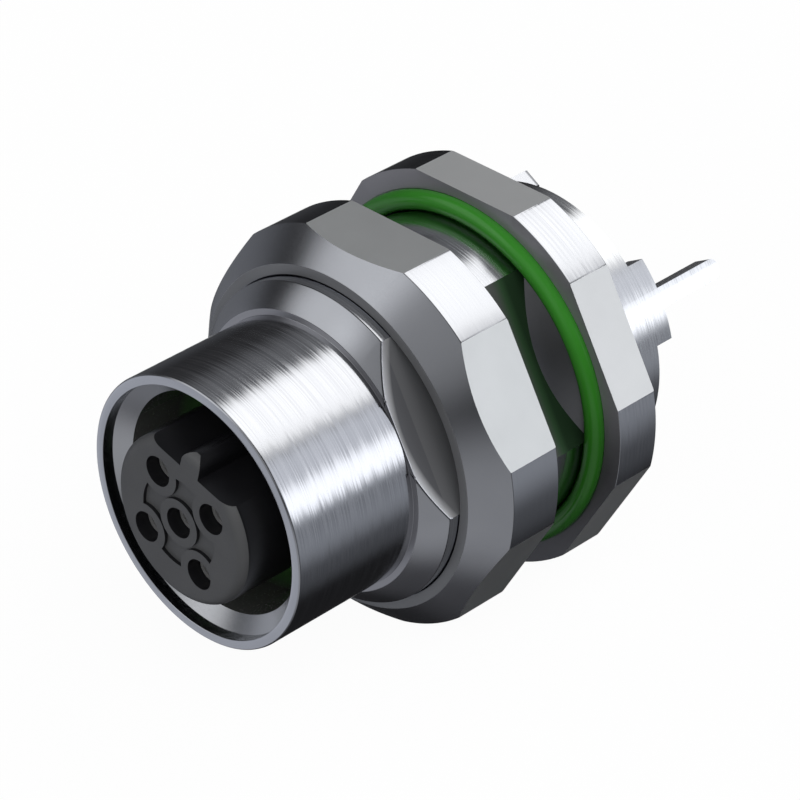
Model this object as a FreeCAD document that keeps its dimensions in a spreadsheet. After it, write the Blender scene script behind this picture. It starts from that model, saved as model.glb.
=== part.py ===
import FreeCAD, Part
import math
import os
import Sketcher

# M12 panel socket: five contacts, B coded, screwed into a panel from behind with a hexagon lock nut.
#
# The origin lies on the socket's axis, in the plane where the flange meets the panel.
# +Y runs along the axis from the mating end to the solder end, +Z is up, and +X is to the right
# for someone who faces the contacts. A station is a distance along Y: minus is ahead of the panel.
# Angles are taken from +X towards +Z. The part lies on one flat of its nut and one of its flange.

sizes = {
    # shell, outside
    "tubeRadius": 6.7,
    "tubeReach": 17.0,
    "tubeEdge": 0.08,
    "shoulderStep": 0.3,
    "shoulderReach": 10.0,
    "threadRadius": 8.0,
    "threadLead": 1.0,
    "flatWall": 1.5,
    "cornerStand": 0.5,
    "flangeThickness": 2.45,
    "keyFlat": 6.75,
    "keyFlatStep": 0.15,
    # shell, inside
    "tubeRim": 0.5,
    "mouthDepth": 0.6,
    "boreRadius": 5.46,
    "boreLead": 0.56,
    "mateDepth": 9.0,
    "stopRoom": 0.35,
    "stopThickness": 1.0,
    "chamberRadius": 5.8,
    "pocketRadius": 7.25,
    "pocketDepth": 1.95,
    # lock nut
    "nutThickness": 4.35,
    "nutDistance": 4.1,
    "nutLand": 0.55,
    "nutClearance": 0.05,
    "nutCountersink": 0.08,
    # seals
    "panelSealSection": 1.0,
    "panelSealStand": 0.57,
    "panelSealRoom": 0.1,
    "bottomSealThickness": 0.9,
    # socket insert
    "insertRadius": 4.15,
    "insertProud": 1.0,
    "insertEdge": 0.5,
    "collarThickness": 2.0,
    "codeDistance": 3.16,
    "codeStop": 0.3,
    "noseWidth": 1.15,
    "noseEdge": 0.3,
    "reliefRadius": 2.33,
    "reliefDepth": 0.18,
    "bossRadius": 1.2,
    # contacts
    "contactCircle": 2.5,
    "socketRadius": 0.7,
    "socketRoom": 0.05,
    "socketBore": 0.55,
    "socketDepth": 6.5,
    "socketRecess": 0.8,
    "socketSlit": 0.22,
    "slitLength": 4.5,
    "stopCollarRadius": 0.95,
    "stopCollarThickness": 1.0,
    "barrelRadius": 0.75,
    "pinRadius": 0.5,
    "pinReach": 10.5,
    "pinTip": 0.2,
    # contact carrier and shield ring
    "carrierFlange": 0.6,
    "carrierRecess": 1.0,
    "carrierEdge": 0.3,
    "ringWall": 1.0,
    "ringReach": 5.8,
    "tabHeight": 1.0,
    "tabWidth": 4.0,
    "legReach": 10.85,
    "legWidth": 1.0,
    "legTipRound": 0.42,
    # gap between pieces that are pushed together
    "pushFit": 0.03,
}

keyAngle = 30.0
codeAngle = 75.0
legCount = 3
flatCount = 6
outerContacts = 4
sealSides = 12

doc = FreeCAD.newDocument("M12PanelSocket")
sheet = doc.addObject("Spreadsheet::Sheet", "Sizes")


class Size:
    """A length and the expression that ties it to the sheet."""

    def __init__(self, text, value):
        self.text = text
        self.value = value

    def __add__(self, other):
        other = asSize(other)
        return Size(f"({self.text} + {other.text})", self.value + other.value)

    def __sub__(self, other):
        other = asSize(other)
        return Size(f"({self.text} - {other.text})", self.value - other.value)

    def __mul__(self, factor):
        return Size(f"({self.text} * {factor:.9f})", self.value * factor)

    def __truediv__(self, factor):
        return self * (1.0 / factor)

    def __neg__(self):
        return self * -1.0


def asSize(value):
    if isinstance(value, Size):
        return value
    return Size(f"({value:.9f})", float(value))


def fillSheet():
    """Write every driving size into the sheet and return them by name."""
    named = {}
    for row, (name, value) in enumerate(sizes.items(), start=1):
        sheet.set(f"A{row}", name)
        sheet.set(f"B{row}", f"{value:.4f}")
        sheet.setAlias(f"B{row}", name)
        named[name] = Size(f"Sizes.{name}", value)
    doc.recompute()
    return named


class Named:
    """The sheet's sizes as attributes."""

    def __init__(self, named):
        self.__dict__.update(named)


size = Named(fillSheet())
zero = asSize(0.0)


# Stations and radii that more than one piece uses

tubeFront = -size.tubeReach
insertFace = tubeFront - size.insertProud
stopFront = tubeFront + size.mateDepth
stopRear = stopFront + size.stopThickness
carrierFront = stopRear + size.collarThickness
shellRear = size.flangeThickness
pocketFloor = shellRear - size.pocketDepth
ringFront = pocketFloor + size.carrierFlange
nutRear = -size.nutDistance
nutFront = nutRear - size.nutThickness
carrierRear = size.ringReach - size.carrierRecess
flatDistance = size.threadRadius + size.flatWall
turnedRadius = flatDistance + size.cornerStand
stopRadius = size.insertRadius + size.stopRoom
ringInner = size.pocketRadius - size.ringWall


# Sketch and feature helpers

def originPart(body, role):
    for part in body.Origin.OriginFeatures:
        if part.Role == role:
            return part
    raise ValueError(f"{body.Label} has no {role}")


def newBody(label):
    body = doc.addObject("PartDesign::Body", label)
    body.Label = label
    return body


def profileSketch(body, name):
    """A sketch in the XY plane, where x is the radius and y the station."""
    sketch = body.newObject("Sketcher::SketchObject", name)
    sketch.AttachmentSupport = [(originPart(body, "XY_Plane"), "")]
    sketch.MapMode = "FlatFace"
    return sketch


def crossSketch(body, name, station):
    """A sketch across the axis at a station, where x is X and y is Z."""
    sketch = body.newObject("Sketcher::SketchObject", name)
    sketch.AttachmentSupport = [(originPart(body, "XZ_Plane"), "")]
    sketch.MapMode = "FlatFace"
    sketch.setExpression("AttachmentOffset.Base.z", (-station).text)
    return sketch


def holdPoint(sketch, geometry, point, spot):
    """Tie a point of the sketch to its two named distances from the origin."""
    for kind, axis, distance in (("DistanceX", -2, spot[0]), ("DistanceY", -1, spot[1])):
        if abs(distance.value) < 1e-9:
            sketch.addConstraint(Sketcher.Constraint("PointOnObject", geometry, point, axis))
        else:
            index = sketch.addConstraint(
                Sketcher.Constraint(kind, -1, 1, geometry, point, distance.value))
            sketch.setExpression(f"Constraints[{index}]", distance.text)


def drawOutline(sketch, corners):
    """Draw a closed outline through corners, each a pair of sizes."""
    spots = [FreeCAD.Vector(across.value, up.value, 0) for across, up in corners]
    count = len(corners)
    lines = []
    for k in range(count):
        segment = Part.LineSegment(spots[k], spots[(k + 1) % count])
        lines.append(sketch.addGeometry(segment, False))
    for k in range(count):
        follower = lines[(k + 1) % count]
        sketch.addConstraint(Sketcher.Constraint("Coincident", lines[k], 2, follower, 1))
    for line, corner in zip(lines, corners):
        holdPoint(sketch, line, 1, corner)


def drawCircle(sketch, centre, radius):
    spot = FreeCAD.Vector(centre[0].value, centre[1].value, 0)
    circle = sketch.addGeometry(Part.Circle(spot, FreeCAD.Vector(0, 0, 1), radius.value), False)
    holdPoint(sketch, circle, 3, centre)
    index = sketch.addConstraint(Sketcher.Constraint("Radius", circle, radius.value))
    sketch.setExpression(f"Constraints[{index}]", radius.text)


def spotAt(angle, out, across=zero):
    """The point that lies out along an angle and across it, as a pair of sizes."""
    cosine = math.cos(math.radians(angle))
    sine = math.sin(math.radians(angle))
    return (out * cosine - across * sine, out * sine + across * cosine)


def stripAt(angle, near, far, halfWidth):
    """Four corners of a strip that points out along an angle."""
    return [spotAt(angle, near, -halfWidth), spotAt(angle, far, -halfWidth),
            spotAt(angle, far, halfWidth), spotAt(angle, near, halfWidth)]


def turn(body, name, corners):
    """Revolve a profile about the axis and add it."""
    sketch = profileSketch(body, name + "Profile")
    drawOutline(sketch, corners)
    feature = body.newObject("PartDesign::Revolution", name)
    feature.Profile = sketch
    feature.ReferenceAxis = (sketch, ["V_Axis"])
    feature.Angle = 360.0
    doc.recompute()
    return feature


def checkCut(body, feature, before):
    """Stop if a cut took nothing away."""
    if body.Shape.Volume > before - 1e-6:
        raise RuntimeError(f"{feature.Label} on {body.Label} cuts nothing")
    return feature


def turnOff(body, name, corners):
    """Revolve a profile about the axis and cut it away."""
    before = body.Shape.Volume
    sketch = profileSketch(body, name + "Profile")
    drawOutline(sketch, corners)
    feature = body.newObject("PartDesign::Groove", name)
    feature.Profile = sketch
    feature.ReferenceAxis = (sketch, ["V_Axis"])
    feature.Angle = 360.0
    doc.recompute()
    return checkCut(body, feature, before)


def cutBack(body, name, sketch, length):
    """Cut a cross sketch away from its station towards the solder end."""
    before = body.Shape.Volume
    feature = body.newObject("PartDesign::Pocket", name)
    feature.Profile = sketch
    feature.setExpression("Length", length.text)
    doc.recompute()
    return checkCut(body, feature, before)


def padBack(body, name, sketch, length):
    """Add a cross sketch from its station towards the solder end."""
    feature = body.newObject("PartDesign::Pad", name)
    feature.Profile = sketch
    feature.Reversed = True
    feature.setExpression("Length", length.text)
    doc.recompute()
    return feature


def repeatRound(body, name, feature, count):
    """Repeat a feature evenly about the socket's axis."""
    pattern = body.newObject("PartDesign::PolarPattern", name)
    pattern.Originals = [feature]
    pattern.Axis = (originPart(body, "Y_Axis"), [""])
    pattern.Angle = 360.0
    pattern.Occurrences = count
    body.Tip = pattern
    doc.recompute()
    return pattern


def circleEdges(feature, radius, station):
    """Names of the round edges with this radius at this station."""
    found = []
    for number, edge in enumerate(feature.Shape.Edges, start=1):
        curve = edge.Curve
        if isinstance(curve, Part.Circle) and abs(curve.Radius - radius.value) < 1e-4:
            if abs(curve.Center.y - station.value) < 1e-4:
                found.append(f"Edge{number}")
    return found


def roundEdges(body, name, feature, edges, radius):
    rounding = body.newObject("PartDesign::Fillet", name)
    rounding.Base = (feature, edges)
    rounding.setExpression("Radius", radius.text)
    doc.recompute()
    return rounding


# Shell: turned from one hexagon bar

def buildShell():
    body = newBody("shell")
    threadFront = -size.shoulderReach + size.threadLead
    mouthRadius = size.tubeRadius - size.tubeRim
    turn(body, "TurnedBlank", [
        (mouthRadius, tubeFront),
        (size.tubeRadius - size.tubeEdge, tubeFront),
        (size.tubeRadius, tubeFront + size.tubeEdge),
        (size.tubeRadius, -size.shoulderReach),
        (size.tubeRadius + size.shoulderStep, -size.shoulderReach),
        (size.threadRadius, threadFront),
        (size.threadRadius, zero),
        (turnedRadius, zero),
        (turnedRadius, shellRear),
        (size.pocketRadius, shellRear),
        (size.pocketRadius, pocketFloor),
        (size.chamberRadius, pocketFloor),
        (size.chamberRadius, stopRear),
        (stopRadius, stopRear),
        (stopRadius, stopFront),
        (size.boreRadius, stopFront),
        (size.boreRadius, tubeFront + size.mouthDepth + size.boreLead),
        (mouthRadius, tubeFront + size.mouthDepth),
    ])

    # six flats on the flange
    flat = crossSketch(body, "FlangeFlatSketch", zero)
    drawOutline(flat, stripAt(90.0, flatDistance, flatDistance * 2, turnedRadius))
    flatCut = cutBack(body, "FlangeFlat", flat, size.flangeThickness)
    repeatRound(body, "FlangeFlats", flatCut, flatCount)

    # one flat along the thread, which stops the socket turning in its panel hole
    key = crossSketch(body, "KeyFlatSketch", -size.shoulderReach)
    drawOutline(key, stripAt(keyAngle, size.keyFlat, turnedRadius, size.threadRadius))
    cutBack(body, "KeyFlat", key, size.shoulderReach)

    # the flat runs out on a cone in front of the flange
    runOutRadius = size.threadRadius - size.keyFlatStep
    runOut = runOutRadius - size.keyFlat
    turn(body, "KeyFlatRunOut", [
        (size.chamberRadius, -runOut),
        (size.keyFlat, -runOut),
        (runOutRadius, zero),
        (size.chamberRadius, zero),
    ])

    # groove in the flange's front face for the panel seal
    grooveDepth = size.panelSealSection - size.panelSealStand
    grooveOuter = size.threadRadius + size.panelSealSection + size.panelSealRoom
    turnOff(body, "SealGroove", [
        (size.threadRadius, zero),
        (grooveOuter, zero),
        (grooveOuter, grooveDepth),
        (size.threadRadius, grooveDepth),
    ])
    return body


# Lock nut: hexagon bar with a turned cone at the front

def buildLockNut():
    body = newBody("lock_nut")
    hexagon = crossSketch(body, "HexagonSketch", nutFront)
    cornerReach = flatDistance / math.cos(math.radians(30.0))
    drawOutline(hexagon, [spotAt(60.0 * k, cornerReach) for k in range(flatCount)])
    padBack(body, "Hexagon", hexagon, size.nutThickness)

    landRadius = size.threadRadius + size.nutLand
    coneLength = turnedRadius - landRadius
    outside = flatDistance * 2
    turnOff(body, "TurnedFront", [
        (landRadius, nutFront),
        (outside, nutFront),
        (outside, nutRear),
        (turnedRadius, nutRear),
        (turnedRadius, nutFront + coneLength),
    ])

    boreRadius = size.threadRadius + size.nutClearance
    turnOff(body, "ThreadBore", [
        (zero, nutFront),
        (boreRadius + size.nutCountersink, nutFront),
        (boreRadius, nutFront + size.nutCountersink),
        (boreRadius, nutRear - size.nutCountersink),
        (boreRadius + size.nutCountersink, nutRear),
        (zero, nutRear),
    ])
    return body


# Seals: one in the flange's groove, one at the bottom of the mating bore

def buildPanelSeal():
    """A round section, drawn with flat sides so that the ring stays light."""
    body = newBody("panel_seal")
    radius = size.panelSealSection / 2
    ringRadius = size.threadRadius + size.pushFit + radius
    station = radius - size.panelSealStand - size.pushFit
    section = []
    for k in range(sealSides):
        angle = 2 * math.pi * (k + 0.5) / sealSides
        section.append((ringRadius + radius * math.cos(angle), station + radius * math.sin(angle)))
    turn(body, "RoundSection", section)
    return body


def buildBottomSeal():
    body = newBody("bottom_seal")
    sealFront = stopFront - size.bottomSealThickness
    sealOuter = size.boreRadius - size.pushFit
    turn(body, "FlatSection", [
        (stopRadius, sealFront),
        (sealOuter, sealFront),
        (sealOuter, stopFront),
        (stopRadius, stopFront),
    ])
    return body


# Socket insert: the moulded face with five holes and the B code

def buildSocketInsert():
    body = newBody("socket_insert")
    collarRadius = size.chamberRadius - size.pushFit
    turn(body, "MouldedBlank", [
        (zero, insertFace),
        (size.insertRadius, insertFace),
        (size.insertRadius, stopRear),
        (collarRadius, stopRear),
        (collarRadius, carrierFront),
        (zero, carrierFront),
    ])

    # shallow round relief, with a boss left standing round every hole
    relief = crossSketch(body, "ReliefSketch", insertFace)
    drawCircle(relief, (zero, zero), size.reliefRadius)
    cutBack(body, "Relief", relief, size.reliefDepth)
    middleBoss = crossSketch(body, "MiddleBossSketch", insertFace)
    drawCircle(middleBoss, (zero, zero), size.bossRadius)
    padBack(body, "MiddleBoss", middleBoss, size.reliefDepth)
    outerBoss = crossSketch(body, "OuterBossSketch", insertFace)
    drawCircle(outerBoss, spotAt(keyAngle, size.contactCircle), size.bossRadius)
    bossPad = padBack(body, "OuterBoss", outerBoss, size.reliefDepth)
    bosses = repeatRound(body, "OuterBosses", bossPad, outerContacts)
    rim = circleEdges(bosses, size.insertRadius, insertFace)
    roundEdges(body, "FrontRim", bosses, rim, size.insertEdge)

    # the code recess is a flat across one side
    codeLength = stopFront - size.codeStop - insertFace
    recess = crossSketch(body, "CodeRecessSketch", insertFace)
    drawOutline(recess, stripAt(codeAngle, size.codeDistance, size.chamberRadius, size.insertRadius))
    cutBack(body, "CodeRecess", recess, codeLength)

    # a rounded nose stands in the middle of the recess
    noseRadius = size.noseWidth / 2
    noseCentre = size.insertRadius - noseRadius
    nose = crossSketch(body, "NoseSketch", insertFace)
    drawOutline(nose, stripAt(codeAngle, size.reliefRadius, noseCentre, noseRadius))
    padBack(body, "Nose", nose, codeLength)
    tip = crossSketch(body, "NoseTipSketch", insertFace)
    drawCircle(tip, spotAt(codeAngle, noseCentre), noseRadius)
    noseTip = padBack(body, "NoseTip", tip, codeLength)
    noseRim = circleEdges(noseTip, noseRadius, insertFace)
    roundEdges(body, "NoseRim", noseTip, noseRim, size.noseEdge)

    # holes for the contacts, each with a wider seat for its stop collar at the back
    holeRadius = size.socketRadius + size.socketRoom
    drillHoles(body, "SocketHole", insertFace, carrierFront - insertFace, holeRadius)
    seatRadius = size.stopCollarRadius + size.pushFit
    seatFront = carrierFront - size.stopCollarThickness
    drillHoles(body, "CollarSeat", seatFront, size.stopCollarThickness, seatRadius)
    return body


def drillHoles(body, name, station, length, radius):
    """Drill one hole on the axis and the ring of holes round it."""
    middle = crossSketch(body, name + "MiddleSketch", station)
    drawCircle(middle, (zero, zero), radius)
    cutBack(body, name + "Middle", middle, length)
    outer = crossSketch(body, name + "OuterSketch", station)
    drawCircle(outer, spotAt(keyAngle, size.contactCircle), radius)
    outerCut = cutBack(body, name + "Outer", outer, length)
    repeatRound(body, name + "Ring", outerCut, outerContacts)


# Contacts: turned, slit at the socket end, with a solder pin at the back

def buildContact(number, angle, out):
    body = newBody(f"contact_{number}")
    socketFront = insertFace + size.socketRecess
    boreEnd = socketFront + size.socketDepth
    stopCollarFront = carrierFront - size.stopCollarThickness
    lead = (size.socketRadius - size.socketBore) / 2
    turn(body, "TurnedContact", [
        (size.socketBore + lead, socketFront),
        (size.socketRadius, socketFront),
        (size.socketRadius, stopCollarFront),
        (size.stopCollarRadius, stopCollarFront),
        (size.stopCollarRadius, carrierFront),
        (size.barrelRadius, carrierFront),
        (size.barrelRadius, carrierRear),
        (size.pinRadius, carrierRear),
        (size.pinRadius, size.pinReach - size.pinTip),
        (size.pinRadius - size.pinTip, size.pinReach),
        (zero, size.pinReach),
        (zero, boreEnd),
        (size.socketBore, boreEnd),
        (size.socketBore, socketFront + lead),
    ])
    slit = crossSketch(body, "SlitSketch", socketFront)
    drawOutline(slit, stripAt(keyAngle, -size.socketRadius * 2, size.socketRadius * 2,
                              size.socketSlit / 2))
    cutBack(body, "Slit", slit, size.slitLength)
    across, up = spotAt(angle, out)
    body.setExpression("Placement.Base.x", across.text)
    body.setExpression("Placement.Base.z", up.text)
    doc.recompute()
    return body


def buildContacts():
    """Contacts 1 to 4 stand round the circle, and contact 5 on the axis."""
    contacts = []
    for k in range(outerContacts):
        angle = keyAngle + 90.0 - 90.0 * k
        contacts.append(buildContact(k + 1, angle, size.contactCircle))
    contacts.append(buildContact(outerContacts + 1, keyAngle, zero))
    return contacts


# Contact carrier: holds the contacts from behind and fills the shell's rear

def buildContactCarrier():
    body = newBody("contact_carrier")
    chamberPlug = size.chamberRadius - size.pushFit
    flangeRadius = size.pocketRadius - size.pushFit
    rearRadius = ringInner - size.pushFit
    turn(body, "MouldedCarrier", [
        (zero, carrierFront),
        (chamberPlug, carrierFront),
        (chamberPlug, pocketFloor),
        (flangeRadius, pocketFloor),
        (flangeRadius, ringFront),
        (rearRadius, ringFront),
        (rearRadius, carrierRear - size.carrierEdge),
        (rearRadius - size.carrierEdge, carrierRear),
        (zero, carrierRear),
    ])
    drillHoles(body, "BarrelHole", carrierFront, carrierRear - carrierFront,
               size.barrelRadius + size.pushFit)
    return body


# Shield ring: pushed into the flange, with three tabs that end in solder legs

def starAt(halfWidth, reach):
    """Outline of strips that meet on the axis, one for each leg."""
    step = 360.0 / legCount
    crotch = halfWidth / math.sin(math.radians(step / 2))
    corners = []
    for k in range(legCount):
        angle = keyAngle + step * k
        corners.append(spotAt(angle, reach, -halfWidth))
        corners.append(spotAt(angle, reach, halfWidth))
        corners.append(spotAt(angle + step / 2, crotch))
    return corners


def buildShieldRing():
    body = newBody("shield_ring")
    outer = size.pocketRadius - size.pushFit
    tabEnd = size.ringReach + size.tabHeight
    turn(body, "TurnedRing", [
        (ringInner, ringFront),
        (outer, ringFront),
        (outer, size.legReach),
        (ringInner, size.legReach),
    ])
    outside = size.pocketRadius * 2

    # above the ring only three tabs are left, and above the tabs only three legs
    tabs = crossSketch(body, "TabSketch", size.ringReach)
    drawCircle(tabs, (zero, zero), outside * 2)
    drawOutline(tabs, starAt(size.tabWidth / 2, outside))
    cutBack(body, "BetweenTabs", tabs, size.tabHeight)
    legs = crossSketch(body, "LegSketch", tabEnd)
    drawCircle(legs, (zero, zero), outside * 2)
    drawOutline(legs, starAt(size.legWidth / 2, outside))
    legCut = cutBack(body, "BetweenLegs", legs, size.legReach - tabEnd)

    # the two corners of each leg's end are rounded
    tips = []
    for number, edge in enumerate(legCut.Shape.Edges, start=1):
        ends = [vertex.Point for vertex in edge.Vertexes]
        atEnd = all(abs(end.y - size.legReach.value) < 1e-4 for end in ends)
        if atEnd and isinstance(edge.Curve, Part.Line):
            tips.append(f"Edge{number}")
    roundEdges(body, "LegTips", legCut, tips, size.legTipRound)
    return body


def writeParts(pieces):
    """Check every object and piece, then write each piece to its own file."""
    for item in doc.Objects:
        if "Invalid" in item.State or "Error" in item.State:
            raise RuntimeError(f"{item.Label} failed: {item.State}")
    for piece in pieces:
        if piece.Shape.isNull() or not piece.Shape.isValid():
            raise RuntimeError(f"{piece.Label} has no valid shape")
    os.makedirs("parts", exist_ok=True)
    for piece in pieces:
        box = piece.Shape.BoundBox
        print(f"{piece.Label}: {len(piece.Shape.Solids)} solid, {piece.Shape.Volume:.1f} mm3, "
              f"Y {box.YMin:.2f} to {box.YMax:.2f}, Z {box.ZMin:.2f} to {box.ZMax:.2f}")
        piece.Shape.exportStep(f"parts/{piece.Label}.step")


pieces = [buildShell(), buildLockNut(), buildPanelSeal(), buildBottomSeal(), buildSocketInsert(),
          buildContactCarrier(), buildShieldRing()]
pieces += buildContacts()
doc.recompute()
writeParts(pieces)
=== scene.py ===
import math

import bmesh
import bpy
from mathutils import Matrix, Vector


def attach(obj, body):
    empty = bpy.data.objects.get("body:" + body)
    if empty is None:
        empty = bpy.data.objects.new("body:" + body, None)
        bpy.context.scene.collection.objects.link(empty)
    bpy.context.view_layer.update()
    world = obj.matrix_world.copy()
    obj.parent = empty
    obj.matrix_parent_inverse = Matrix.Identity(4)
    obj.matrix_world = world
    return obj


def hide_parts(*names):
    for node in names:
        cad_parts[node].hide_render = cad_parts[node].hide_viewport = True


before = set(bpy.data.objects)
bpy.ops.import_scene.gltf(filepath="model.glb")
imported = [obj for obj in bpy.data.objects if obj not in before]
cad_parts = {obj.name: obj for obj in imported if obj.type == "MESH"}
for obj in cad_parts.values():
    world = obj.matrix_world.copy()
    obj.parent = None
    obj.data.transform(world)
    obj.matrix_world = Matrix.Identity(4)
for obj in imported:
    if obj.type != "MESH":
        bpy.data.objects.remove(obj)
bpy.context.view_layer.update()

mm = 0.001
axisY = Vector((0, 1, 0))
roundSteps = 192  # facets round a turned piece
weld = 0.0005  # spots nearer than this are one, in millimetres
sharpAngle = 16.0
print("frame loaded:", len(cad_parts), "nodes")


# mesh helpers, all in millimetres until a piece is finished

def outward(angle, reach=1.0, across=0.0):
    # a spot seen along the axis: reach points out at the angle, across is square to it
    a = math.radians(angle)
    x = reach * math.cos(a) - across * math.sin(a)
    z = reach * math.sin(a) + across * math.cos(a)
    return Vector((x, 0, z))


def axisDistance(spot):
    return Vector((spot.x, 0, spot.z)).length


def turned(profile, steps=roundSteps, corner=3):
    # profile points are (radius, y, rounding)
    bm = bmesh.new()
    verts = [bm.verts.new((r, y, 0)) for r, y, soft in profile]
    closed = profile[0][0] > 0 or profile[-1][0] > 0
    pairs = list(zip(verts, verts[1:])) + ([(verts[-1], verts[0])] if closed else [])
    for a, b in pairs:
        bm.edges.new((a, b))
    for vert, (r, y, soft) in zip(verts, profile):
        if soft > 0:
            bmesh.ops.bevel(bm, geom=[vert], offset=soft, offset_type="OFFSET", affect="VERTICES",
                            segments=corner, profile=0.5, material=-1)
    bmesh.ops.spin(bm, geom=bm.verts[:] + bm.edges[:], cent=(0, 0, 0), axis=axisY,
                   angle=2 * math.pi, steps=steps, use_merge=True)
    bmesh.ops.remove_doubles(bm, verts=bm.verts[:], dist=weld)
    bmesh.ops.recalc_face_normals(bm, faces=bm.faces[:])
    return bm


def prism(outline, start, end):
    # outline is a list of spots seen along the axis
    bm = bmesh.new()
    base = bm.faces.new([bm.verts.new((p.x, start, p.z)) for p in outline])
    risen = bmesh.ops.extrude_face_region(bm, geom=[base])["geom"]
    top = [v for v in risen if isinstance(v, bmesh.types.BMVert)]
    bmesh.ops.translate(bm, verts=top, vec=(0, end - start, 0))
    bmesh.ops.recalc_face_normals(bm, faces=bm.faces[:])
    return bm


def rod(spot, radius, start, end, steps=64):
    # a round bar along the axis
    bm = bmesh.new()
    bmesh.ops.create_cone(bm, cap_ends=True, segments=steps, radius1=radius, radius2=radius,
                          depth=end - start)
    bmesh.ops.rotate(bm, verts=bm.verts[:], cent=(0, 0, 0),
                     matrix=Matrix.Rotation(-math.pi / 2, 3, "X"))
    bmesh.ops.translate(bm, verts=bm.verts[:], vec=(spot.x, (start + end) / 2, spot.z))
    return bm


def strip(angle, near, far, half):
    # outline of a bar that points out from the axis
    corners = [(near, -half), (far, -half), (far, half), (near, half)]
    return [outward(angle, reach, across) for reach, across in corners]


def sliceFlat(bm, angle, distance, keepInside=True):
    # saw one flat and close the cut
    parts = bm.verts[:] + bm.edges[:] + bm.faces[:]
    cut = bmesh.ops.bisect_plane(bm, geom=parts, dist=weld, plane_co=outward(angle, distance),
                                 plane_no=outward(angle), clear_outer=keepInside, clear_inner=not keepInside)
    rim = [e for e in cut["geom_cut"] if isinstance(e, bmesh.types.BMEdge)]
    bmesh.ops.edgenet_fill(bm, edges=rim)
    bmesh.ops.recalc_face_normals(bm, faces=bm.faces[:])


def temporary(bm):
    mesh = bpy.data.meshes.new("temporary")
    bm.to_mesh(mesh)
    bm.free()
    obj = bpy.data.objects.new("temporary", mesh)
    bpy.context.scene.collection.objects.link(obj)
    return obj


def combine(bm, tool, operation="DIFFERENCE"):
    # both meshes are used up
    base, other = temporary(bm), temporary(tool)
    change = base.modifiers.new("combine", "BOOLEAN")
    change.operation = operation
    change.solver = "EXACT"
    change.object = other
    view = bpy.context.evaluated_depsgraph_get()
    mesh = bpy.data.meshes.new_from_object(base.evaluated_get(view))
    made = bmesh.new()
    made.from_mesh(mesh)
    for obj in (base, other):
        data = obj.data
        bpy.data.objects.remove(obj)
        bpy.data.meshes.remove(data)
    bpy.data.meshes.remove(mesh)
    bmesh.ops.remove_doubles(made, verts=made.verts[:], dist=weld)
    return made


def onFlat(face, angle, distance):
    # whether a face lies on the flat at this angle and distance from the axis
    side = outward(angle)
    return face.normal.dot(side) > 0.999 and abs(face.calc_center_median().dot(side) - distance) < 0.02


def sortFinishes(bm, flats, innerRadius):
    # turned outsides keep the first material, flats take the second,
    # and ends, cones and the inside take the third
    bm.normal_update()
    for face in bm.faces:
        middle = face.calc_center_median()
        inside = axisDistance(middle) < innerRadius
        if any(onFlat(face, angle, distance) for angle, distance in flats):
            face.material_index = 1
        elif inside or abs(face.normal.y) > 0.3:
            face.material_index = 2


def easeFlat(bm, angle, distance, width, lowest, highest):
    # a small round along a flat's edge between two stations
    bm.normal_update()
    edges = []
    for edge in bm.edges:
        sides = [onFlat(face, angle, distance) for face in edge.link_faces]
        spots = [v.co.y for v in edge.verts]
        if sides.count(True) == 1 and len(sides) == 2 and min(spots) > lowest and max(spots) < highest:
            edges.append(edge)
    bmesh.ops.bevel(bm, geom=edges, offset=width, offset_type="OFFSET", affect="EDGES",
                    segments=3, profile=0.5, material=-1)


def finishPiece(name, bm, materials, body, node):
    # brings a piece to metres, joins it to its body and hides its CAD node
    bm.normal_update()
    for edge in bm.edges:
        edge.smooth = edge.calc_face_angle(0) < math.radians(sharpAngle)
    for face in bm.faces:
        face.smooth = True
    bmesh.ops.scale(bm, verts=bm.verts[:], vec=(mm, mm, mm))
    mesh = bpy.data.meshes.new(name)
    bm.to_mesh(mesh)
    bm.free()
    obj = bpy.data.objects.new(name, mesh)
    bpy.context.scene.collection.objects.link(obj)
    for material in materials:
        mesh.materials.append(material)
    weigh = obj.modifiers.new("weightedNormals", "WEIGHTED_NORMAL")
    weigh.keep_sharp = True
    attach(obj, body)
    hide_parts(node)
    print("made", name, len(mesh.polygons), "faces")


# shared shader groups

def newGroup(name, inputs, outputs):
    group = bpy.data.node_groups.new(name, "ShaderNodeTree")
    for label, kind, value in inputs:
        socket = group.interface.new_socket(name=label, in_out="INPUT", socket_type=kind)
        socket.default_value = value
    for label, kind in outputs:
        group.interface.new_socket(name=label, in_out="OUTPUT", socket_type=kind)
    return group, group.nodes.new("NodeGroupInput"), group.nodes.new("NodeGroupOutput")


def calculate(tree, operation, a, b=None):
    node = tree.nodes.new("ShaderNodeMath")
    node.operation = operation
    for socket, value in zip(node.inputs, (a, b)):
        if isinstance(value, (int, float)):
            socket.default_value = value
        elif value is not None:
            tree.links.new(value, socket)
    return node.outputs[0]


def objectPlace(tree):
    place = tree.nodes.new("ShaderNodeTexCoord")
    split = tree.nodes.new("ShaderNodeSeparateXYZ")
    tree.links.new(place.outputs["Object"], split.inputs[0])
    return split.outputs


def axisRadius(tree, x, z):
    squares = [calculate(tree, "MULTIPLY", part, part) for part in (x, z)]
    return calculate(tree, "SQRT", calculate(tree, "ADD", *squares))


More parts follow.
